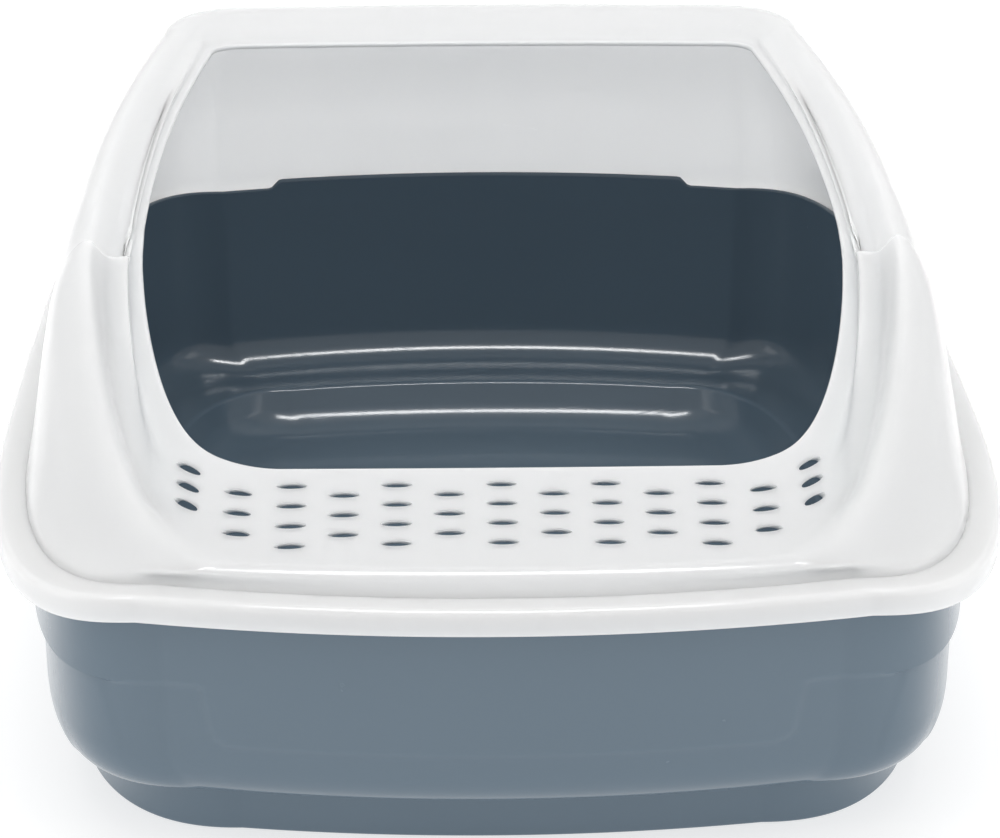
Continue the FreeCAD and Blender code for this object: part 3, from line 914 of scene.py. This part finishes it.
print("panel half width", PANEL_HALF_WIDTH, "tab half width", TAB_HALF_WIDTH)

# %% Rails of the tray
TRAY_COUNT = 250
TURN_SAMPLES = 80


def basin_ring(inset, side_inset, roundness):
    """An outline of the tray. roundness goes from 0, square corners like the rim's, to 1."""
    flat = HALF_WIDTH - 57.0 - inset * 0.5 - 10.9 * roundness
    bow = END_BOW * (1.0 - 0.45 * roundness)
    depth = CORNER_DEPTH * (1.0 - 0.22 * roundness)
    power = 2.9 - 0.6 * roundness
    side = HALF_WIDTH - side_inset
    return half_ring(inset, flat, bow, side, depth, side - 0.6, LENGTH - depth,
                     flat, LENGTH - bow - inset, LENGTH - inset, power, power)


def ring_at(inset, height, inside):
    """The outline for a point of the section, which lies further out at the sides low down."""
    if height >= TURN_TOP:
        gain = (TURN_INSET - TURN_SIDE_INSET) * max(0.0, 1.0 - (height - TURN_TOP) / 50.0)
        return basin_ring(inset, inset - gain, 0.0)
    depth = WALL if inside else 0.0
    well = WELL_INSET - (0.0 if inside else WALL * 0.5)
    rib = FOOT_RIB + 0.1
    down = np.linspace(0.0, 1.0, TURN_SAMPLES)
    fronts = [*(TURN_INSET + depth + (FOOT_INSET - TURN_INSET) * front_fall(down)),
              FOOT_INSET + rib, well, 2.0 * well]
    sides = [*(TURN_SIDE_INSET + depth + (FOOT_SIDE_INSET - TURN_SIDE_INSET) * side_fall(down)),
             FOOT_SIDE_INSET + rib, well - WELL_SIDE_GAIN, 2.0 * well - WELL_SIDE_GAIN]
    roundness = [*front_fall(down), 1.0, 1.0, 1.0]
    return basin_ring(inset, np.interp(inset, fronts, sides), np.interp(inset, fronts, roundness))


def tray_rail(inset, height, relief, inside):
    """One rail of the tray, with the belt's relief or the upstand's rise where they belong."""
    plan = spread(ring_at(inset, height, inside), TRAY_COUNT, tray_crowd)
    z = np.full(len(plan), height)
    if relief:
        plan = pushed_out(plan, belt_relief(plan[:, 0], plan[:, 1], z))
    if height > RIM_TOP + 1.5:
        share = (height - RIM_TOP) / (UPSTAND_TOP - RIM_TOP)
        z = z + rim_rise(plan[:, 0], plan[:, 1]) * share
    return np.c_[plan, z]


relief_end = next(i for i, p in enumerate(section) if p[1] > RELIEF_TOP - 0.1)
relief_start = next(i for i, p in enumerate(section)
                    if i > 20 and p[1] > FOOT_TOP + 1.1 and p[0] < FOOT_INSET)
tray_rails = [tray_rail(inset, height, relief_start <= i <= relief_end, i > relief_end)
              for i, (inset, height) in enumerate(section)]
tray = swept_shell("tray_shell", tray_rails, False, caps=(0, len(tray_rails) - 1))
tray.data.materials.append(blue_plastic)
shade(tray, SHARP_ANGLE)

# %% [markdown]
# ## Put the shells on the frame
#
# Each shell stands for the engineering node of the same moulding and rides on its body, so
# that the hood lifts off the tray when the joint moves.

# %% Ride and replace
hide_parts("sieve_hood")
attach(hood, "hood")
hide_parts("litter_tray")
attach(tray, "tray")

# %% [markdown]
# ## Floor, light and camera
#
# The box stands on a white sweep in a bright tent of light. The sweep glows a little, as a
# light table does, so it stays clean and throws light up under the tray. Softboxes above
# and beside it give the gloss its highlights.

# %% Floor


def floor_material():
    material = bpy.data.materials.new("white_sweep")
    material.use_nodes = True
    nodes = Nodes(material.node_tree)
    diffuse = nodes.add("ShaderNodeBsdfDiffuse", None, {"Color": (0.5, 0.5, 0.5, 1.0)})
    glow = nodes.add("ShaderNodeEmission", None, {"Color": (1.0, 1.0, 1.0, 1.0), "Strength": 0.64})
    both = nodes.put("ShaderNodeAddShader")
    nodes.tree.links.new(diffuse.socket, both.inputs[0])
    nodes.tree.links.new(glow.socket, both.inputs[1])
    nodes.put("ShaderNodeOutputMaterial", None, {"Surface": Value(nodes, both.outputs[0])})
    return material


floor_half = 8.0
mesh = bpy.data.meshes.new("floor")
mesh.from_pydata([(-floor_half, -floor_half, 0), (floor_half, -floor_half, 0),
                  (floor_half, floor_half, 0), (-floor_half, floor_half, 0)], [], [(0, 1, 2, 3)])
floor = bpy.data.objects.new("floor", mesh)
floor.location = (0.0, 0.0, -0.0002)
bpy.context.scene.collection.objects.link(floor)
mesh.materials.append(floor_material())

# %% World and softboxes
scene = bpy.context.scene
world = bpy.data.worlds.new("tent")
world.use_nodes = True
nodes = Nodes(world.node_tree)
sky = nodes.add("ShaderNodeBackground", None, {"Color": (1.0, 1.0, 1.0, 1.0), "Strength": 0.74})
nodes.put("ShaderNodeOutputWorld", None, {"Surface": sky})
scene.world = world
scene.view_settings.view_transform = "Standard"
scene.view_settings.look = "None"


def softbox(name, place, target, width, height, power, diffuse=True, gloss=True):
    """A rectangular soft light that faces a target. diffuse and gloss say what it lights."""
    light = bpy.data.lights.new(name, "AREA")
    light.shape = "RECTANGLE"
    light.size = width
    light.size_y = height
    light.energy = power
    obj = bpy.data.objects.new(name, light)
    obj.location = place
    obj.rotation_euler = (Vector(target) - Vector(place)).to_track_quat("-Z", "Y").to_euler()
    obj.visible_diffuse = diffuse
    obj.visible_glossy = gloss
    scene.collection.objects.link(obj)
    return obj


softbox("top_box", (0.0, -0.15, 1.5), (0.0, 0.0, 0.1), 1.3, 0.9, 8.0, gloss=False)
softbox("strip_box", (0.0, -0.55, 1.5), (0.0, 0.1, 0.05), 0.8, 0.18, 12.0, diffuse=False)
softbox("left_box", (-1.4, -0.5, 0.9), (0.0, 0.0, 0.1), 0.9, 0.9, 2.5)
softbox("right_box", (1.4, -0.5, 0.9), (0.0, 0.0, 0.1), 0.9, 0.9, 2.5)
softbox("back_box", (0.0, 1.3, 0.5), (0.0, 0.2, 0.15), 1.6, 0.8, 10.0, gloss=False)

# %% Camera
LENS = 129.6
SENSOR = 36.0
CAMERA_PLACE = Vector((-0.0261, -1.2786, 0.5524))
CAMERA_AIM = Vector((0.02183, 0.93633, -0.35046))
camera_data = bpy.data.cameras.new("camera")
camera_data.lens = LENS
camera_data.sensor_width = SENSOR
camera_data.clip_start = 0.01
camera = bpy.data.objects.new("camera", camera_data)
camera.location = CAMERA_PLACE
camera.rotation_euler = CAMERA_AIM.to_track_quat("-Z", "Y").to_euler()
scene.collection.objects.link(camera)
scene.camera = camera
